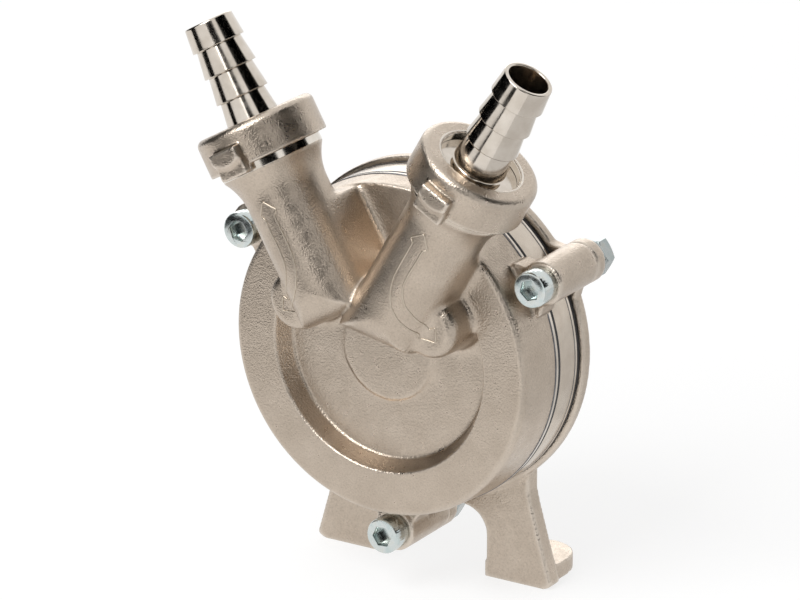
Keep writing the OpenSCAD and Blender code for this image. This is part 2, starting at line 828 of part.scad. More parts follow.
// Hose tail: flange, short neck and barbs with a bore right through
module hose_tail(side) {
    first_crest = tail_tip - tip_length;
    last_crest = first_crest - (barbs - 1) * barb_pitch;
    color(bright_color) in_pump() on_neck(side) rotate_extrude($fn = 96) difference() {
        union() {
            translate([0, gasket_top]) square([tail_flange_r, tail_flange_t]);
            translate([0, gasket_top]) square([barb_root_r, tail_tip - gasket_top - 1]);
            polygon([
                [0, first_crest], [barb_crest_r, first_crest], [barb_crest_r, first_crest + 0.3],
                [tip_r, tail_tip - 0.5], [tip_r - 0.5, tail_tip], [0, tail_tip]
            ]);
            for (i = [1 : barbs - 1]) let (crest = first_crest - i * barb_pitch)
                if (crest > gasket_top) polygon([
                    [0, crest], [barb_crest_r, crest], [barb_crest_r, crest + 0.3],
                    [barb_root_r, crest + barb_pitch], [0, crest + barb_pitch]
                ]);
        }
        translate([-1, gasket_top - 1]) square([tail_bore_r + 1, tail_tip]);
        translate([0, tail_tip - 0.6])
            polygon([[0, 0], [tail_bore_r, 0], [tail_bore_r + 0.6, 0.7], [0, 0.7]]);
    }
}
module left_hose_tail() hose_tail(LEFT);
module right_hose_tail() hose_tail(RIGHT);

// Union nut: a cap with a plain inside, and two cast lugs that reach below it
module union_nut(side) {
    lug_in = collar_r + lug_clearance;
    color(cast_color) in_pump() on_neck(side) difference() {
        union() {
            rotate_extrude($fn = 128) difference() {
                translate([0, nut_at]) square([nut_r, nut_h]);
                translate([nut_r, nut_top]) rotate(180) corner_cut(nut_round);
            }
            for (s = [0, 180]) rotate(s) translate([-lug_w / 2, -nut_r - lug_out, nut_at - lug_below])
                cube([lug_w, nut_r + lug_out - lug_in, lug_h]);
        }
        translate([0, 0, nut_at - lug_below - 1])
            cylinder(r = lug_in, h = lug_below + 1, $fn = 96);
        translate([0, 0, nut_at - 1])
            cylinder(r = thread_r + nut_thread_clearance, h = nut_cavity_top - nut_at + 1, $fn = 96);
        translate([0, 0, nut_at]) cylinder(r = nut_hole_r, h = nut_h + 1, $fn = 96);
    }
}
module left_union_nut() union_nut(LEFT);
module right_union_nut() union_nut(RIGHT);

module gasket(side) {
    color(rubber_color) in_pump() on_neck(side) translate([0, 0, thread_top])
        ring(thread_r - 0.3, neck_bore_r, gasket_t);
}
module left_gasket() gasket(LEFT);
module right_gasket() gasket(RIGHT);

// Places the children at each screw's axis, Z running to the back
module at_screws(station) {
    in_pump() at_ears() translate([screw_circle_r, station, 0]) rotate([-90, 0, 0]) children();
}

module cap_screws() {
    shank = flange_back + washer_t + hex_nut_t + screw_end - ear_front;
    chamfer = 0.4;
    color(zinc_color) at_screws(ear_front) difference() {
        union() {
            rotate_extrude() polygon([
                [0, -head_h], [head_r - chamfer, -head_h], [head_r, chamfer - head_h],
                [head_r, 0], [screw_r, 0], [screw_r, shank - chamfer], [screw_r - chamfer, shank], [0, shank]
            ]);
        }
        translate([0, 0, -head_h - 1]) cylinder(d = socket_af / cos(30), h = socket_depth + 1, $fn = 6);
    }
}

module lock_washers() {
    color(zinc_color) at_screws(flange_back) difference() {
        ring(washer_r, screw_r + 0.1, washer_t);
        rotate([0, 0, 20]) translate([0, -0.4, -1]) cube([2 * washer_r, 0.8, washer_t + 2]);
    }
}

module hex_nuts() {
    color(zinc_color) at_screws(flange_back + washer_t) difference() {
        intersection() {
            rotate([0, 0, 30]) cylinder(d = nut_af / cos(30), h = hex_nut_t, $fn = 6);
            rotate_extrude() polygon([
                [0, 0], [nut_af / 2 - 0.1, 0], [nut_af / 2 + 1, 0.7],
                [nut_af / 2 + 1, hex_nut_t - 0.7], [nut_af / 2 - 0.1, hex_nut_t], [0, hex_nut_t]
            ]);
        }
        translate([0, 0, -1]) cylinder(r = screw_r + 0.02, h = hex_nut_t + 2);
    }
}

front_cover();
middle_ring();
rear_cover();
front_o_ring();
rear_o_ring();
impeller();
impeller_key();
impeller_circlip();
drive_shaft();
shaft_circlips();
seal_case();
seal_lip();
garter_spring();
bearing_outer_rings();
bearing_inner_rings();
bearing_balls();
bearing_cages();
housing_circlip();
dust_ring();
left_hose_tail();
right_hose_tail();
left_union_nut();
right_union_nut();
left_gasket();
right_gasket();
cap_screws();
lock_washers();
hex_nuts();
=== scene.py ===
import math

import bmesh
import bpy
import numpy as np
from mathutils import Matrix, Vector
from mathutils.bvhtree import BVHTree

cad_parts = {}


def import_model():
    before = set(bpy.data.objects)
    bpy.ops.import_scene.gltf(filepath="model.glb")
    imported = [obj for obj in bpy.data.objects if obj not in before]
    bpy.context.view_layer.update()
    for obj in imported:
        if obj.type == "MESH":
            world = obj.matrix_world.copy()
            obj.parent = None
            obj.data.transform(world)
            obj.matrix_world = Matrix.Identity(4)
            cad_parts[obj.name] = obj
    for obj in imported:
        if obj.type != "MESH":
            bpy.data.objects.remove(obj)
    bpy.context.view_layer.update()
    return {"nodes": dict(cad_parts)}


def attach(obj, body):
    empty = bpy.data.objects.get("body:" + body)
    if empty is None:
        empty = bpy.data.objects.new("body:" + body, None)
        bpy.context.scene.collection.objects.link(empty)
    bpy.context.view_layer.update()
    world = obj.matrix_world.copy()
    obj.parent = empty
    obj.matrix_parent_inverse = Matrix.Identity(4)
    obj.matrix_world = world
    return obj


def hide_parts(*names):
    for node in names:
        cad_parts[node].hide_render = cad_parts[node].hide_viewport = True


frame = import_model()

# Sizes of the part's source, in millimetres and degrees. Stations along a neck count from
# the crossing of the two necks' axes, and along the pump axis from the ring face.
MM = 0.001
PUMP_ORIGIN = (0.0, -42.0, 69.9)
NECK_ANGLE = 29.7
NECK_FRONT = 5.7
NECK_R = 11.5
PORT_R_AT = 25.2
PORT_TURN = 26.6
LOBE_R = 9.0
COLLAR_AT = 58.8
COLLAR_R = 14.4
COLLAR_H = 2.5
NUT_AT = COLLAR_AT + COLLAR_H
NUT_R = 16.8
LUG_W = 9.2
NUT_H = 10.7
NUT_TOP = NUT_AT + NUT_H
NUT_TOP_T = 2.4
NUT_HOLE_R = 11.4
TAIL_FOOT = 67.7
TAIL_TIP = 100.3
TAIL_FLANGE_R = 12.9
TAIL_FLANGE_T = 1.8
TAIL_BORE_R = 5.6
BARB_PITCH = 7.5
BARB_COUNT = 4
BARB_ROOT_R = 6.35
BARB_CREST_R = 7.45
TIP_LENGTH = 6.9
TIP_R = 6.8
EAR_ANGLES = (30, 150, 270)
SCREW_CIRCLE_R = 52.9
EAR_FRONT = 8.0
SCREW_R = 3.0
SHANK = 30.2
HEAD_R = 5.0
HEAD_H = 6.0
SOCKET_AF = 5.0
SOCKET_DEPTH = 3.0
CASING_R = 46.6
JOINT_1 = 16.6
JOINT_2 = 27.4
SIDES = {"left": -1, "right": 1}


def in_pump():
    """Pump frame in millimetres to the part's frame in metres."""
    return Matrix.Scale(MM, 4) @ Matrix.Translation(PUMP_ORIGIN)


def on_neck(side):
    """Neck frame in millimetres, Z towards the hose, to the part's frame in metres."""
    return in_pump() @ Matrix.Translation((0, -NECK_FRONT, 0)) @ Matrix.Rotation(
        math.radians(side * NECK_ANGLE), 4, "Y"
    )


def at_ear(angle, station):
    """Screw frame in millimetres, Z towards the back, to the part's frame in metres."""
    return (
        in_pump()
        @ Matrix.Rotation(math.radians(-angle), 4, "Y")
        @ Matrix.Translation((SCREW_CIRCLE_R, station, 0))
        @ Matrix.Rotation(math.radians(-90), 4, "X")
    )


# Shaders

class Shader:
    """A Principled material with short calls for the nodes that feed it."""

    def __init__(self, name, metallic, roughness):
        self.material = bpy.data.materials.new(name)
        self.material.use_nodes = True
        self.tree = self.material.node_tree
        self.bsdf = self.tree.nodes["Principled BSDF"]
        self.bsdf.inputs["Metallic"].default_value = metallic
        self.bsdf.inputs["Roughness"].default_value = roughness
        self.place = self.tree.nodes.new("ShaderNodeTexCoord").outputs["Object"]

    def add(self, kind, **settings):
        node = self.tree.nodes.new(kind)
        for key, value in settings.items():
            setattr(node, key, value)
        return node

    def link(self, source, target):
        self.tree.links.new(source, target)

    def noise(self, size_mm, detail=3.0, roughness=0.55):
        node = self.add("ShaderNodeTexNoise")
        node.inputs["Scale"].default_value = 1.0 / (size_mm * MM)
        node.inputs["Detail"].default_value = detail
        node.inputs["Roughness"].default_value = roughness
        self.link(self.place, node.inputs["Vector"])
        return node.outputs["Fac"]

    def spots(self, size_mm):
        """Distance to the nearest of many scattered points."""
        node = self.add("ShaderNodeTexVoronoi")
        node.inputs["Scale"].default_value = 1.0 / (size_mm * MM)
        self.link(self.place, node.inputs["Vector"])
        return node.outputs["Distance"]

    def ramp(self, source, stops):
        """Stops are (position, grey or colour)."""
        node = self.add("ShaderNodeValToRGB")
        ramp = node.color_ramp
        while len(ramp.elements) < len(stops):
            ramp.elements.new(0.5)
        for element, (at, value) in zip(ramp.elements, stops):
            element.position = at
            colour = value if isinstance(value, tuple) else (value, value, value)
            element.color = (*colour, 1.0)
        self.link(source, node.inputs["Fac"])
        return node.outputs["Color"]

    def mix(self, factor, a, b, blend="MIX"):
        node = self.add("ShaderNodeMix", data_type="RGBA", blend_type=blend)
        for socket, value in (("Factor", factor), ("A", a), ("B", b)):
            self.feed(node.inputs[socket], value)
        return node.outputs["Result"]

    def feed(self, socket, value):
        if isinstance(value, (int, float)):
            socket.default_value = value
        elif isinstance(value, tuple):
            socket.default_value = (*value, 1.0)
        else:
            self.link(value, socket)

    def maths(self, operation, a, b):
        node = self.add("ShaderNodeMath", operation=operation)
        self.feed(node.inputs[0], a)
        self.feed(node.inputs[1], b)
        return node.outputs["Value"]

    def measured(self, name):
        """A value that was worked out for each point of the mesh."""
        return self.add("ShaderNodeAttribute", attribute_name=name).outputs["Fac"]

    def bump(self, height, depth_mm, strength=1.0, under=None):
        node = self.add("ShaderNodeBump")
        node.inputs["Strength"].default_value = strength
        node.inputs["Distance"].default_value = depth_mm * MM
        self.link(height, node.inputs["Height"])
        if under is not None:
            self.link(under, node.inputs["Normal"])
        return node.outputs["Normal"]

    def finish(self, colour, roughness, normal):
        self.link(colour, self.bsdf.inputs["Base Color"])
        self.link(roughness, self.bsdf.inputs["Roughness"])
        self.link(normal, self.bsdf.inputs["Normal"])
        return self.material


def cast_nickel(name, grain_mm, grain_depth, smoothness):
    """Nickel plate over a blasted casting: grain, cloudy colour, edges lightened for wear and a
    painted highlight, and painted shade in the inside corners.
    """
    # Dark brown painted into the inside corners as shade
    painted_corner_shade = (0.26, 0.215, 0.165)
    # Pale colour for edges: plating rubbed bright, with a painted highlight
    worn_edge_and_highlight = (0.70, 0.63, 0.55)
    s = Shader(name, 1.0, 0.4)
    clouds = s.noise(9.0, 4.0)
    fine = s.noise(grain_mm, 1.0, 0.5)
    grains = s.spots(grain_mm)
    coarse = s.noise(grain_mm * 6.0, 2.0, 0.5)
    tone = s.ramp(clouds, ((0.3, (0.48, 0.405, 0.33)), (0.7, (0.54, 0.46, 0.38))))
    pits = s.ramp(fine, ((0.28, 0.86), (0.45, 0.97), (0.60, 1.0), (0.76, 1.08)))
    speckled = s.mix(1.0, tone, pits, "MULTIPLY")
    # Painted shade: darkens the colour towards dark brown where the surface is hollow
    shaded_in_corners = s.mix(s.maths("MULTIPLY", s.measured("hollow"), 0.75), speckled, painted_corner_shade)
    # Edges lightened for wear and as a painted highlight along the rims
    colour = s.mix(s.maths("MULTIPLY", s.measured("edge"), 0.7), shaded_in_corners, worn_edge_and_highlight)
    gloss = s.ramp(coarse, ((0.3, smoothness), (0.7, smoothness + 0.12)))
    skin = s.bump(coarse, grain_depth * 0.5, 0.6)
    blasted = s.bump(grains, grain_depth, 1.0, skin)
    return s.finish(colour, gloss, blasted)


def machined_nickel(name, colour_a, colour_b, roughness):
    """Bright plate over a turned face: faint smears and hairline tool marks."""
    s = Shader(name, 1.0, roughness)
    smears = s.noise(6.0, 3.0)
    colour = s.ramp(smears, ((0.35, colour_a), (0.65, colour_b)))
    hairs = s.noise(0.35, 2.0, 0.6)
    gloss = s.ramp(s.noise(2.2, 3.0), ((0.3, roughness), (0.7, roughness + 0.07)))
    return s.finish(colour, gloss, s.bump(hairs, 0.004, 0.5))


def zinc_plate(name, level):
    """Blue zinc plate: faint yellow and blue clouds over a fairly smooth face."""
    s = Shader(name, 1.0, 0.25)
    bluish = tuple(level * c for c in (0.86, 0.98, 0.97))
    plain = tuple(level * c for c in (1.0, 1.06, 1.04))
    yellowish = tuple(level * c for c in (1.02, 1.04, 0.96))
    tone = s.ramp(s.noise(2.4, 2.0), ((0.3, bluish), (0.55, plain), (0.75, yellowish)))
    gloss = s.ramp(s.noise(1.4, 2.0), ((0.3, 0.15), (0.7, 0.24)))
    return s.finish(tone, gloss, s.bump(s.noise(0.25, 3.0), 0.004, 0.6))


def ground_steel(name, dark, light, roughness):
    """Metal between two tones, with fine scratches."""
    s = Shader(name, 1.0, roughness)
    tone = s.ramp(s.noise(3.0, 4.0), ((0.3, dark), (0.7, light)))
    gloss = s.ramp(s.noise(1.0, 3.0), ((0.3, roughness), (0.7, roughness + 0.12)))
    return s.finish(tone, gloss, s.bump(s.noise(0.3, 3.0), 0.006, 0.6))


def black_rubber(name):
    """Matt black with a faint mottle."""
    s = Shader(name, 0.0, 0.6)
    tone = s.ramp(s.noise(2.0, 4.0), ((0.3, (0.012, 0.012, 0.013)), (0.7, (0.03, 0.03, 0.031))))
    gloss = s.ramp(s.noise(0.9, 3.0), ((0.3, 0.48), (0.7, 0.72)))
    return s.finish(tone, gloss, s.bump(s.noise(0.4, 3.0), 0.02, 0.6))


CAST = cast_nickel("cast_nickel", 0.50, 0.066, 0.27)
CAST_FINE = cast_nickel("cast_nickel_fine", 0.48, 0.070, 0.25)
CAST_PLAIN = ground_steel("cast_ridge", (0.49, 0.42, 0.34), (0.58, 0.51, 0.42), 0.32)
MACHINED = machined_nickel("machined_nickel", (0.66, 0.61, 0.54), (0.76, 0.71, 0.64), 0.10)
SATIN = machined_nickel("satin_ring", (0.53, 0.46, 0.385), (0.60, 0.53, 0.45), 0.20)
PLATED = machined_nickel("plated_tail", (0.58, 0.52, 0.45), (0.68, 0.62, 0.55), 0.10)
ZINC = zinc_plate("zinc_plate", 0.62)
ZINC_DULL = zinc_plate("zinc_plate_dull", 0.40)
STEEL = ground_steel("ground_steel", (0.52, 0.52, 0.52), (0.66, 0.66, 0.65), 0.18)
SPRING = ground_steel("spring_steel", (0.10, 0.10, 0.11), (0.22, 0.22, 0.23), 0.38)
STAINLESS = ground_steel("stainless", (0.56, 0.55, 0.53), (0.70, 0.69, 0.67), 0.22)
BRONZE = ground_steel("bronze", (0.52, 0.34, 0.15), (0.70, 0.50, 0.26), 0.30)
BRASS = ground_steel("cage_brass", (0.60, 0.46, 0.20), (0.76, 0.62, 0.32), 0.28)
RUBBER = black_rubber("black_rubber")


# Mesh making

def mesh_object(name, points, faces, material, sharp):
    """Smooth mesh whose edges stay sharp above the given angle."""
    mesh = bpy.data.meshes.new(name)
    mesh.from_pydata(points, [], faces)
    tidy = bmesh.new()
    tidy.from_mesh(mesh)
    bmesh.ops.recalc_face_normals(tidy, faces=tidy.faces)
    tidy.to_mesh(mesh)
    tidy.free()
    mesh.shade_smooth()
    mesh.set_sharp_from_angle(angle=math.radians(sharp))
    mesh.materials.append(material)
    obj = bpy.data.objects.new(name, mesh)
    bpy.context.scene.collection.objects.link(obj)
    return obj


def loft(name, loops, matrix, material, closed, sharp):
    """Loops of equal length joined by quads. An open loft is capped, a closed one is a ring."""
    count = len(loops[0])
    points = [matrix @ Vector(p) for loop in loops for p in loop]
    faces = []
    last = len(loops) if closed else len(loops) - 1
    for i in range(last):
        a = i * count
        b = ((i + 1) % len(loops)) * count
        for j in range(count):
            k = (j + 1) % count
            faces.append((a + j, a + k, b + k, b + j))
    if not closed:
        for start in (0, (len(loops) - 1) * count):
            centre = sum((points[start + j] for j in range(count)), Vector()) / count
            points.append(centre)
            for j in range(count):
                faces.append((start + j, start + (j + 1) % count, len(points) - 1))
    return mesh_object(name, points, faces, material, sharp)


def circle(radius, z, segments, turn=0.0):
    """Radius is a number or a function of the angle."""
    loop = []
    for j in range(segments):
        angle = 2 * math.pi * j / segments
        r = radius(angle) if callable(radius) else radius
        loop.append((r * math.cos(angle + turn), r * math.sin(angle + turn), z))
    return loop


def turned(name, profile, matrix, material, segments, sharp):
    """Closed profile of (radius, station) points turned round Z."""
    return loft(name, [circle(r, z, segments) for r, z in profile], matrix, material, True, sharp)


def arc(centre_r, centre_z, radius, start, end, steps):
    """Points of an arc in a profile, angles in degrees from the outward direction."""
    points = []
    for i in range(steps + 1):
        a = math.radians(start + (end - start) * i / steps)
        points.append((centre_r + radius * math.cos(a), centre_z + radius * math.sin(a)))
    return points


def between(a, b, shares):
    """Points on the line from a to b."""
    return [(a[0] + (b[0] - a[0]) * t, a[1] + (b[1] - a[1]) * t) for t in shares]


# Cast pieces

# How a casting's bend at a point becomes a share from nought to one
BEND_FROM = 0.05
BEND_SPAN = 0.15
BEND_PASSES = 5


class Skin:
    """Points of a dense mesh as arrays, for softening and for measuring its edges."""

    def __init__(self, mesh):
        self.mesh = mesh
        self.count = len(mesh.vertices)
        self.edges = np.empty(len(mesh.edges) * 2, dtype=np.int32)
        mesh.edges.foreach_get("vertices", self.edges)
        self.edges = self.edges.reshape(-1, 2)
        self.degree = np.bincount(self.edges.ravel(), minlength=self.count)
        self.points = np.empty(self.count * 3)
        mesh.vertices.foreach_get("co", self.points)
        self.points = self.points.reshape(-1, 3)

    def average(self, values):
        """Mean of each point's neighbours."""
        a, b = self.edges[:, 0], self.edges[:, 1]
        total = np.bincount(a, values[b], self.count) + np.bincount(b, values[a], self.count)
        return total / self.degree

    def pull(self):
        """From each point to the middle of its neighbours."""
        middle = np.stack([self.average(self.points[:, i]) for i in range(3)], axis=1)
        return middle - self.points

    def normals(self):
        found = np.empty(self.count * 3)
        self.mesh.vertex_normals.foreach_get("vector", found)
        return found.reshape(-1, 3)

    def store(self):
        self.mesh.vertices.foreach_set("co", self.points.ravel())
        self.mesh.update()

    def fill_corners(self, share, passes):
        """Moves points only where the surface is hollow, which leaves a round inside corner."""
        for _ in range(passes):
            pull = self.pull()
            hollow = (pull * self.normals()).sum(axis=1) > 0
            self.points += 0.5 * pull * (share * hollow)[:, None]
            self.store()

    def round_off(self, share, passes):
        """Rounds whatever stands out where share is one."""
        for _ in range(passes):
            self.points += 0.5 * self.pull() * share[:, None]
        self.store()

    def measure_edges(self, voxel):
        """Keeps two values for the shader: edge on convex edges, hollow in inside corners."""
        bend = -(self.pull() * self.normals()).sum(axis=1) * MM / (voxel * MM) ** 2
        for _ in range(BEND_PASSES):
            bend = self.average(bend)
        for name, signed in (("edge", bend), ("hollow", -bend)):
            value = np.clip((signed - BEND_FROM) / BEND_SPAN, 0.0, 1.0)
            layer = self.mesh.attributes.new(name, "FLOAT", "POINT")
            layer.data.foreach_set("value", value.astype(np.float32))


# Fillets at the necks' feet: where a neck's flank starts, how far they reach and fade out.
# They leave alone the inside of the necks and port lobes, and the back of the cover.
FLANK_FROM = 6.0
FILLET_REACH = 5.5
FILLET_FADE = 2.0
NECK_WALL = 1.5
LOBE_WALL = 3.0
LOBE_FACE = -8.0
COVER_BACK = 9.0


def neck_corners(points):
    """How far each point of the front cover takes part in the fillets at the necks' feet."""
    x, y, z = (points / MM - np.array(PUMP_ORIGIN)).T
    turn = math.radians(NECK_ANGLE)
    port_turn = math.radians(PORT_TURN)
    port_across = PORT_R_AT * math.sin(port_turn)
    port_along = PORT_R_AT * math.cos(port_turn)
    near = np.zeros(len(points))
    inside = np.zeros(len(points), dtype=bool)
    for side in SIDES.values():
        along = side * x * math.sin(turn) + z * math.cos(turn)
        across = side * x * math.cos(turn) - z * math.sin(turn)
        from_port = np.hypot(across - port_across, along - port_along)
        flank = np.maximum(np.abs(across) - NECK_R, FLANK_FROM - along)
        away = np.minimum(flank, from_port - LOBE_R)
        near = np.maximum(near, np.clip((FILLET_REACH - away) / FILLET_FADE, 0, 1))
        inside |= np.hypot(across, y + NECK_FRONT) < NECK_R - NECK_WALL
        inside |= (from_port < LOBE_R - LOBE_WALL) & (y > LOBE_FACE)
    near[inside | (y > COVER_BACK)] = 0
    return near


# Lower part of a nut's lug: how far it is set back, the arc where that starts, the height
# over which it does, and the depth over which the lug takes part at its root
LUG_STEP = 1.0
LUG_STEP_AT = 2.8
LUG_BULGE = 1.6
LUG_EDGE = 0.3
LUG_ROOT = 0.6


def shape_lugs(skin, side, passes):
    """Sets the lugs of a union nut back below an arc, and rounds them off."""
    x, y, z = (skin.points / MM - np.array(PUMP_ORIGIN)).T
    turn = math.radians(NECK_ANGLE)
    along = side * x * math.sin(turn) + z * math.cos(turn)
    across = side * x * math.cos(turn) - z * math.sin(turn)
    share = np.clip((np.hypot(across, y + NECK_FRONT) - NUT_R) / LUG_ROOT, 0.0, 1.0)
    middle = NUT_AT + LUG_STEP_AT - LUG_BULGE * (1 - (2 * across / LUG_W) ** 2)
    below = np.clip((middle - along) / LUG_EDGE, 0.0, 1.0)
    skin.points[:, 1] -= np.sign(y + NECK_FRONT) * LUG_STEP * below * share * MM
    skin.round_off(share, passes)


def cast_piece(name, node, voxel, passes, material, body, corners=None, shape=None):
    """The node's solid with its edges and inside corners softened as in a casting."""
    mesh = frame["nodes"][node].data.copy()
    welded = bmesh.new()
    welded.from_mesh(mesh)
    bmesh.ops.remove_doubles(welded, verts=welded.verts, dist=1e-7)
    welded.to_mesh(mesh)
    welded.free()
    rough = bpy.data.objects.new(name + "_rough", mesh)
    bpy.context.scene.collection.objects.link(rough)
    remesh = rough.modifiers.new("skin", "REMESH")
    remesh.mode = "VOXEL"
    remesh.voxel_size = voxel * MM
    soften = rough.modifiers.new("soften", "SMOOTH")
    soften.factor = 0.5
    soften.iterations = passes
    bpy.context.view_layer.update()
    seen = rough.evaluated_get(bpy.context.evaluated_depsgraph_get())
    final = bpy.data.meshes.new_from_object(seen)
    bpy.data.objects.remove(rough)
    final.name = name
    final.materials.clear()
    final.materials.append(material)
    final.shade_smooth()
    skin = Skin(final)
    if corners is not None:
        share = corners(skin.points)
        skin.fill_corners(share, round(FILLET_PASSES * (FULL_VOXEL / voxel) ** 2))
    if shape is not None:
        shape(skin)
    skin.measure_edges(voxel)
    obj = bpy.data.objects.new(name, final)
    bpy.context.scene.collection.objects.link(obj)
    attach(obj, body)
    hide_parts(node)
    return obj


# Spacing of the castings' points, with the passes that soften them
FULL_VOXEL = 0.42
COVER_VOXEL = FULL_VOXEL
NUT_VOXEL = 0.32
FRONT_PASSES = 6
REAR_PASSES = 5
NUT_PASSES = 6
FILLET_PASSES = 60
LUG_PASSES = 10
front_cover = cast_piece(
    "front_casting", "front_cover", COVER_VOXEL, FRONT_PASSES, CAST, "casing", neck_corners
)
cast_piece("rear_casting", "rear_cover", COVER_VOXEL, REAR_PASSES, CAST, "casing")
for word, side in SIDES.items():
    cast_piece(
        word + "_nut_casting", word + "_union_nut", NUT_VOXEL, NUT_PASSES, CAST_FINE,
        word + "_nut",
        shape=lambda skin, side=side: shape_lugs(skin, side, LUG_PASSES),
    )


# Flow arrows on the necks

# Outline in neck coordinates: distance from the axes' crossing, distance outwards
ARROW = (
    (50.6, 0.2), (47.0, -2.9), (46.4, -1.5), (42.0, -1.5), (38.0, -1.55), (34.4, -1.4),
    (31.6, -0.7), (29.0, 0.4), (26.3, 2.2), (24.0, 4.9), (22.4, 8.0), (21.2, 10.6),
    (19.6, 10.6), (21.6, 15.5), (25.3, 13.2), (23.6, 12.0), (25.3, 9.4), (27.1, 7.2),
    (28.8, 4.9), (31.6, 3.0), (34.4, 2.05), (38.0, 1.85), (42.0, 2.0), (46.2, 2.05),
    (47.0, 3.2),
)
RIDGE_STEP = 0.3
RIDGE_PASSES = 3
# Section of the ridge: distance aside, height over the casting
RIDGE = ((-0.36, -0.2), (-0.2, 0.16), (0.0, 0.22), (0.2, 0.16), (0.36, -0.2))


def dense(outline, step):
    """Points at about equal steps round a closed outline."""
    points = []
    for a, b in zip(outline, outline[1:] + outline[:1]):
        count = max(1, round(math.dist(a, b) / step))
        for i in range(count):
            points.append([a[k] + (b[k] - a[k]) * i / count for k in range(2)])
    return points


def eased(points, passes):
    """Closed outline with its corners a little rounded."""
    for _ in range(passes):
        after = points[1:] + points[:1]
        points = [
            [(points[i - 1][k] + 2 * points[i][k] + after[i][k]) / 4 for k in range(2)]
            for i in range(len(points))
        ]
    return points


def flow_arrow(word, side, surface):
    """Thin raised outline that follows the casting's front."""
    to_neck = on_neck(side)
    before_front = -20
    toward = Vector((0, 1, 0))
    spots = []
    for along, out in eased(dense(ARROW, RIDGE_STEP), RIDGE_PASSES):
        start = to_neck @ Vector((side * out, before_front, along))
        spots.append(surface.ray_cast(start, toward)[:2])
    loops = []
    for i, (place, normal) in enumerate(spots):
        ahead = (spots[(i + 1) % len(spots)][0] - spots[i - 1][0]).normalized()
        aside = ahead.cross(normal).normalized()
        loops.append([place + (aside * a + normal * n) * MM for a, n in RIDGE])
    ridge = loft(word + "_flow_arrow", loops, Matrix.Identity(4), CAST_PLAIN, True, 180)
    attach(ridge, "casing")


front_surface = BVHTree.FromObject(front_cover, bpy.context.evaluated_depsgraph_get())
for word, side in SIDES.items():
    flow_arrow(word, side, front_surface)


# Bright turned pieces

def collar_band(word, side, material):
    """Turned face of the collar under a union nut."""
    edge = 0.35
    outer = COLLAR_R + 0.05
    inner = COLLAR_R - 0.6
    profile = [
        (inner, COLLAR_AT), (outer - edge, COLLAR_AT), (outer, COLLAR_AT + edge),
        (outer, NUT_AT - 0.15), (outer - 0.15, NUT_AT), (inner, NUT_AT),
    ]
    band = turned(word + "_collar_band", profile, on_neck(side), material, 160, 25)
    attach(band, "casing")


def nut_liner(word, side):
    """Turned wall of the hole in a union nut's top, with its countersink."""
    sink = 0.5
    inner = NUT_HOLE_R - 0.06
    outer = NUT_HOLE_R + 0.7
    bottom = NUT_TOP - NUT_TOP_T
    top = NUT_TOP + 0.02
    profile = [
        (inner, bottom), (inner, top - sink), (inner + sink, top), (outer, top), (outer, bottom),
    ]
    liner = turned(word + "_nut_liner", profile, on_neck(side), MACHINED, 160, 25)
    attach(liner, word + "_nut")


def hose_tail(word, side):
    """Flange, short neck and barbs with rounded crests, bored right through."""
    flange_top = TAIL_FOOT + TAIL_FLANGE_T
    edge = 0.25
    foot_round = 0.9
    crest_round = 0.22
    tip_round = 0.45
    bore_round = 0.35
    profile = [(TAIL_BORE_R, TAIL_FOOT), (TAIL_FLANGE_R - edge, TAIL_FOOT)]
    profile += arc(TAIL_FLANGE_R - edge, TAIL_FOOT + edge, edge, -90, 0, 3)
    profile += arc(TAIL_FLANGE_R - edge, flange_top - edge, edge, 0, 90, 3)
    profile += arc(BARB_ROOT_R + foot_round, flange_top + foot_round, foot_round, 270, 180, 6)
    first_crest = TAIL_TIP - TIP_LENGTH
    taper = math.degrees(math.atan2(BARB_CREST_R - BARB_ROOT_R, BARB_PITCH))
    for i in reversed(range(BARB_COUNT)):
        crest = first_crest - i * BARB_PITCH
        profile += [(BARB_ROOT_R, crest)]
        profile += arc(BARB_CREST_R - crest_round, crest + crest_round, crest_round, -90, taper, 4)
        foot = TIP_R if i == 0 else BARB_ROOT_R
        top = TAIL_TIP - tip_round if i == 0 else crest + BARB_PITCH
        profile += between(profile[-1], (foot, top), (0.02, 0.98))
    profile += arc(TIP_R - tip_round, TAIL_TIP - tip_round, tip_round, 10, 90, 5)
    profile += arc(TAIL_BORE_R + bore_round, TAIL_TIP - bore_round, bore_round, 90, 180, 4)
    tail = turned(word + "_barbed_tail", profile, on_neck(side), PLATED, 192, 28)
    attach(tail, word + "_tail")
    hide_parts(word + "_hose_tail")


def casing_band(name, start, end, proud, material):
    """Narrow ring round the casing between two stations of the pump axis."""
    edge = 0.12
    inner = CASING_R - 1.0
    outer = CASING_R + proud
    profile = [
        (inner, start), (outer - edge, start), (outer, start + edge),
        (outer, end - edge), (outer - edge, end), (inner, end),
    ]
    matrix = in_pump() @ Matrix.Rotation(math.radians(-90), 4, "X")
    ring = turned(name, profile, matrix, material, 256, 25)
    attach(ring, "casing")


# Each joint shows a thin dark band as a painted shadow line, a turned land, and a black band as
# painted shade in the joint's groove
casing_band("front_joint_painted_shadow_line", JOINT_1 - 1.9, JOINT_1 - 1.3, 0.03, SPRING)
casing_band("front_joint_land", JOINT_1 - 1.3, JOINT_1 - 0.4, 0.06, PLATED)
casing_band("front_joint_painted_groove_shade", JOINT_1 - 0.4, JOINT_1 + 0.7, 0.04, RUBBER)
casing_band("rear_joint_painted_shadow_line", JOINT_2 - 2.7, JOINT_2 - 2.2, 0.03, SPRING)
casing_band("rear_joint_land", JOINT_2 - 2.2, JOINT_2 - 1.4, 0.06, PLATED)
casing_band("rear_joint_painted_groove_shade", JOINT_2 - 1.4, JOINT_2 - 0.1, 0.04, RUBBER)
for word, side in SIDES.items():
    collar_band(word, side, MACHINED if word == "left" else SATIN)
    nut_liner(word, side)
    hose_tail(word, side)


# Cap screws

SCREW_SEGMENTS = 144
SOCKET_FLOOR_R = 2.0
SOCKET_CHAMFER = 0.3
SOCKET_CHAMFER_H = 0.35
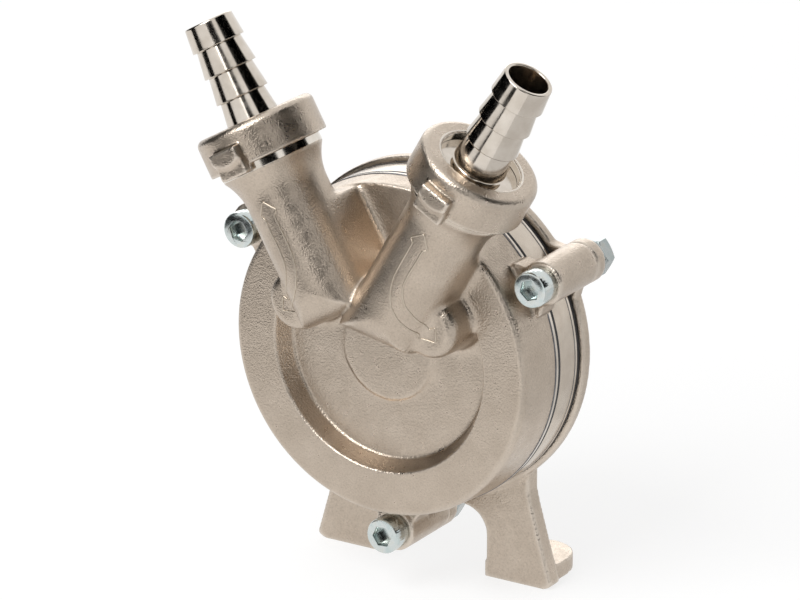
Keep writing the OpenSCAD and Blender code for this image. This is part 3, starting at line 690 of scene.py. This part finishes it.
# Rims of a head, outer end and seat: distance in from its radius, station from that face
HEAD_END = ((0.65, 0.0), (0.33, 0.1), (0.12, 0.38))
HEAD_SEAT = ((0.12, -0.55), (0.14, -0.2), (0.3, 0.0))
KNURL_TEETH = 36
KNURL_DEPTH = 0.05
KNURL_FROM = -HEAD_H + 0.6
KNURL_TO = -0.8
THREAD_PITCH = 1.0
THREAD_DEPTH = 0.5
THREAD_FROM = 17.0
THREAD_STEP = 0.125
# The thread's last stretch tapers to this share of its radius
THREAD_END = 0.5
THREAD_TAPER = 0.86


def knurled(angle):
    """Radius of a head's knurled wall."""
    wave = abs((angle * KNURL_TEETH / (2 * math.pi)) % 1.0 - 0.5) * 2
    return HEAD_R - KNURL_DEPTH * (1 - wave)


def hexagon(across_flats):
    """Radius of a socket's wall."""
    def radius(angle):
        folded = (angle % (math.pi / 3)) - math.pi / 6
        return across_flats / 2 / math.cos(folded)
    return radius


def threaded(z):
    """Radius of the thread at a station of the shank."""
    def radius(angle):
        wave = abs(((z / THREAD_PITCH) - angle / (2 * math.pi)) % 1.0 - 0.5) * 2
        end = min(1.0, (SHANK - z) / THREAD_END)
        return (SCREW_R - THREAD_DEPTH * wave) * (THREAD_TAPER + (1 - THREAD_TAPER) * end)
    return radius


def cap_screw(index, angle, turn):
    """Socket, knurled head, plain shank and thread, seated on an ear's front."""
    loops = [
        circle(SOCKET_FLOOR_R, -HEAD_H + SOCKET_DEPTH, SCREW_SEGMENTS, turn),
        circle(hexagon(SOCKET_AF), -HEAD_H + SOCKET_DEPTH, SCREW_SEGMENTS, turn),
        circle(hexagon(SOCKET_AF), -HEAD_H + SOCKET_CHAMFER_H, SCREW_SEGMENTS, turn),
        circle(hexagon(SOCKET_AF + SOCKET_CHAMFER), -HEAD_H, SCREW_SEGMENTS, turn),
    ]
    loops += [circle(HEAD_R - inward, -HEAD_H + z, SCREW_SEGMENTS) for inward, z in HEAD_END]
    loops += [circle(knurled, z, SCREW_SEGMENTS) for z in (KNURL_FROM, KNURL_TO)]
    loops += [circle(HEAD_R - inward, z, SCREW_SEGMENTS) for inward, z in HEAD_SEAT]
    loops += [circle(SCREW_R, z, SCREW_SEGMENTS) for z in (0, THREAD_FROM)]
    z = THREAD_FROM + THREAD_STEP
    while z < SHANK:
        loops.append(circle(threaded(z), z, SCREW_SEGMENTS))
        z += THREAD_STEP
    screw = loft(f"cap_screw_{index}", loops, at_ear(angle, EAR_FRONT), ZINC, False, 30)
    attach(screw, "casing")
    return screw


SOCKET_TURNS = (12, 40, 25)
screws = [
    cap_screw(i + 1, angle, math.radians(turn))
    for i, (angle, turn) in enumerate(zip(EAR_ANGLES, SOCKET_TURNS))
]
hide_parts("cap_screws")


# Finishes of the CAD nodes that stay, and the width of the bevels on some

NODE_FINISH = {
    "middle_ring": SATIN,
    "front_o_ring": RUBBER,
    "rear_o_ring": RUBBER,
    "impeller": BRONZE,
    "impeller_key": STEEL,
    "impeller_circlip": SPRING,
    "drive_shaft": STAINLESS,
    "shaft_circlips": SPRING,
    "seal_case": STEEL,
    "seal_lip": RUBBER,
    "garter_spring": STEEL,
    "bearing_outer_rings": STEEL,
    "bearing_inner_rings": STEEL,
    "bearing_balls": STEEL,
    "bearing_cages": BRASS,
    "housing_circlip": SPRING,
    "dust_ring": RUBBER,
    "left_gasket": RUBBER,
    "right_gasket": RUBBER,
    "lock_washers": ZINC_DULL,
    "hex_nuts": ZINC_DULL,
}
SOFT_EDGES = {"middle_ring": 0.12, "lock_washers": 0.15, "hex_nuts": 0.15, "drive_shaft": 0.12}


def finish_node(name, material):
    """Gives a CAD node its looks, and breaks its sharp edges where it is named for that."""
    node = frame["nodes"][name]
    node.data.materials.clear()
    node.data.materials.append(material)
    if name in SOFT_EDGES:
        weld = node.modifiers.new("weld", "WELD")
        weld.merge_threshold = 1e-6
        bevel = node.modifiers.new("edges", "BEVEL")
        bevel.width = SOFT_EDGES[name] * MM
        bevel.segments = 2
        bevel.limit_method = "ANGLE"
        bevel.angle_limit = math.radians(35)


for name, material in NODE_FINISH.items():
    finish_node(name, material)


# Floor, world, lamps and camera

def plane(name, width, height, material):
    """Flat piece of the studio, centred on its own origin."""
    w = width / 2
    h = height / 2
    mesh = bpy.data.meshes.new(name)
    mesh.from_pydata([(-w, -h, 0), (w, -h, 0), (w, h, 0), (-w, h, 0)], [], [(0, 1, 2, 3)])
    mesh.materials.append(material)
    obj = bpy.data.objects.new(name, mesh)
    bpy.context.scene.collection.objects.link(obj)
    return obj


def floor_material():
    """Pale floor that keeps a faint shadow under the part."""
    s = Shader("floor", 0.0, 0.9)
    s.bsdf.inputs["Base Color"].default_value = (0.30, 0.30, 0.30, 1.0)
    s.bsdf.inputs["Specular IOR Level"].default_value = 0.0
    s.bsdf.inputs["Emission Color"].default_value = (1.0, 1.0, 1.0, 1.0)
    s.bsdf.inputs["Emission Strength"].default_value = 0.74
    return s.material


def flag_material(name, level):
    """Matt black, with its own glow where the card is to look grey."""
    s = Shader(name, 0.0, 1.0)
    s.bsdf.inputs["Base Color"].default_value = (0.0, 0.0, 0.0, 1.0)
    s.bsdf.inputs["Specular IOR Level"].default_value = 0.0
    s.bsdf.inputs["Emission Color"].default_value = (1.0, 1.0, 1.0, 1.0)
    s.bsdf.inputs["Emission Strength"].default_value = level
    return s.material


def aim(obj, place, target):
    """Puts the object in its place with its Z away from the target."""
    obj.location = place
    obj.rotation_mode = "QUATERNION"
    obj.rotation_quaternion = (Vector(place) - Vector(target)).to_track_quat("Z", "Y")


def hide_card(card):
    """Leaves a card in reflections only."""
    card.visible_camera = False
    card.visible_shadow = False
    card.visible_diffuse = False
    card.visible_transmission = False


def flag(name, width, height, place, target):
    """Black card that only mirror-like surfaces see, as beside a light tent."""
    card = plane(name, width, height, FLAG)
    aim(card, place, target)
    hide_card(card)


def lamp(name, width, height, watts, place, target):
    """Softbox that faces its target."""
    data = bpy.data.lights.new(name, "AREA")
    data.shape = "RECTANGLE"
    data.size = width
    data.size_y = height
    data.energy = watts
    data.specular_factor = 0.7
    obj = bpy.data.objects.new(name, data)
    bpy.context.scene.collection.objects.link(obj)
    aim(obj, place, target)


def world():
    """White for the camera and for reflections, and a softer level as light."""
    scene_world = bpy.data.worlds.new("studio")
    bpy.context.scene.world = scene_world
    scene_world.use_nodes = True
    tree = scene_world.node_tree
    path = tree.nodes.new("ShaderNodeLightPath")
    seen = tree.nodes.new("ShaderNodeMath")
    seen.operation = "MAXIMUM"
    tree.links.new(path.outputs["Is Camera Ray"], seen.inputs[0])
    tree.links.new(path.outputs["Is Glossy Ray"], seen.inputs[1])
    also = tree.nodes.new("ShaderNodeMath")
    also.operation = "MAXIMUM"
    tree.links.new(seen.outputs[0], also.inputs[0])
    tree.links.new(path.outputs["Is Transmission Ray"], also.inputs[1])
    level = tree.nodes.new("ShaderNodeMapRange")
    level.inputs["To Min"].default_value = 0.55
    level.inputs["To Max"].default_value = 1.0
    tree.links.new(also.outputs[0], level.inputs["Value"])
    background = tree.nodes["Background"]
    background.inputs["Color"].default_value = (1.0, 1.0, 1.0, 1.0)
    tree.links.new(level.outputs["Result"], background.inputs["Strength"])


def standing_flag(name, azimuth, distance, width, bottom, top):
    """Black card that faces the part, its azimuth counted from the front towards +X."""
    a = math.radians(azimuth)
    x = MIDDLE[0] + distance * math.sin(a)
    y = MIDDLE[1] - distance * math.cos(a)
    z = (top + bottom) / 2
    flag(name, width, top - bottom, (x, y, z), (MIDDLE[0], MIDDLE[1], z))


def floor_flag(name, azimuths, distances, material):
    """Card on the floor that only mirror-like surfaces see, a sector round the part's middle."""
    corners = []
    for distance, turns in ((distances[0], azimuths), (distances[1], azimuths[::-1])):
        for azimuth in turns:
            a = math.radians(azimuth)
            x = MIDDLE[0] + distance * math.sin(a)
            y = MIDDLE[1] - distance * math.cos(a)
            corners.append((x, y, 0.0))
    card = plane(name, 1.0, 1.0, material)
    for vertex, corner in zip(card.data.vertices, corners):
        vertex.co = corner
    card.location = (0.0, 0.0, FLOOR_CARD_Z)
    hide_card(card)


FLAG = flag_material("flag", 0.0)
GREY = flag_material("grey_flag", 0.76)
MIDDLE = (0.0, -0.035, 0.08)
FLOOR_CARD_Z = 0.004
plane("floor", 6.0, 6.0, floor_material())
world()
lamp("key", 0.8, 0.7, 9.5, (-0.18, -0.9, 0.95), MIDDLE)
standing_flag("flag_left", -74, 0.55, 0.72, 0.0, 0.75)
standing_flag("flag_camera", 28, 1.60, 1.00, 0.01, 1.30)
standing_flag("flag_right", 97, 0.80, 1.15, 0.22, 1.70)
lamp("back", 1.0, 0.6, 2.6, (-0.64, 1.0, 0.52), MIDDLE)
floor_flag("flag_floor_left", (-58, -8), (0.32, 1.50), FLAG)
floor_flag("flag_floor_camera", (11, 44), (0.75, 1.55), FLAG)
floor_flag("flag_floor_right", (44, 110), (0.12, 1.50), GREY)
floor_flag("flag_floor_back", (110, 176), (0.12, 1.50), GREY)

# Camera fitted to the photograph: distance and offsets in millimetres from the ring face
CAMERA_AZIMUTH = 32.073
CAMERA_ELEVATION = 19.56
CAMERA_DISTANCE = 1438.05
CAMERA_RIGHT = 5.986
CAMERA_UP = 14.936
CAMERA_LENS = 241.85
SENSOR = 36.0


def camera():
    """Looks along the fitted direction, with the fitted offsets across it."""
    a = math.radians(CAMERA_AZIMUTH)
    e = math.radians(CAMERA_ELEVATION)
    back = Vector((math.sin(a) * math.cos(e), -math.cos(a) * math.cos(e), math.sin(e)))
    right = Vector((math.cos(a), math.sin(a), 0.0))
    up = back.cross(right)
    place = Vector(PUMP_ORIGIN) + CAMERA_DISTANCE * back + CAMERA_RIGHT * right + CAMERA_UP * up
    data = bpy.data.cameras.new("camera")
    data.lens = CAMERA_LENS
    data.sensor_width = SENSOR
    data.clip_start = 0.05
    data.clip_end = 20.0
    obj = bpy.data.objects.new("camera", data)
    bpy.context.scene.collection.objects.link(obj)
    turn = Matrix((right, up, back)).transposed().to_4x4()
    obj.matrix_world = Matrix.Translation(place * MM) @ turn
    bpy.context.scene.camera = obj


camera()
bpy.context.scene.view_settings.view_transform = "Standard"
